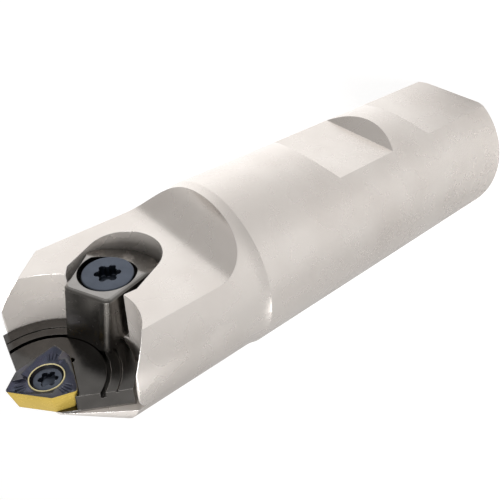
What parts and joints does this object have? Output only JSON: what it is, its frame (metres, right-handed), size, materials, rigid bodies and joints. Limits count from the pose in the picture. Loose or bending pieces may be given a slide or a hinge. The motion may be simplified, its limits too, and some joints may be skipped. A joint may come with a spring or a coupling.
{
  "type": "indexable milling cutter",
  "caption": "Round steel shank with drive flats whose cut-back head holds a swivelling cassette with a small cutting insert, locked by a claw clamp.",
  "frame": {"origin": "centre of the shank's end face, on which the tool stands", "axes": "+Z along the tool axis to the cutting end, +Y square to the drive flats, on the side the insert's face and the clamp look"},
  "size_m": [0.025, 0.025, 0.0876],
  "materials": {
    "nickel_plate": "satin nickel plate",
    "black_steel": "black oxide",
    "coated_carbide": "dark coating with gold flanks",
    "blued_screw": "blued"
  },
  "bodies": {
    "holder": {"body": "nickel_plate"},
    "swivel": {"cassette": "black_steel", "insert": "coated_carbide", "insert_screw": "blued_screw"},
    "claw": {"clamp": "black_steel"},
    "locking_screw": {"clamp_screw": "blued_screw"}
  },
  "joints": [
    {"name": "cassette_swivel", "type": "hinge", "parent": "holder", "child": "swivel", "pos_m": [0.0033, -0.0025, 0.08305], "axis": [0, 1, 0], "range_deg": [-30, 40]},
    {"name": "clamp_lift", "type": "slide", "parent": "holder", "child": "claw", "axis": [0, 1, 0], "range_m": [0, 0.001]},
    {"name": "clamp_screw_turn", "type": "hinge", "parent": "claw", "child": "locking_screw", "pos_m": [-0.00095, 0, 0.07155], "axis": [0, 1, 0], "range_deg": [0, 600]}
  ],
  "couplings": [
    {"joint": "clamp_screw_turn", "follows": "clamp_lift", "rad_per_m": 10471}
  ]
}
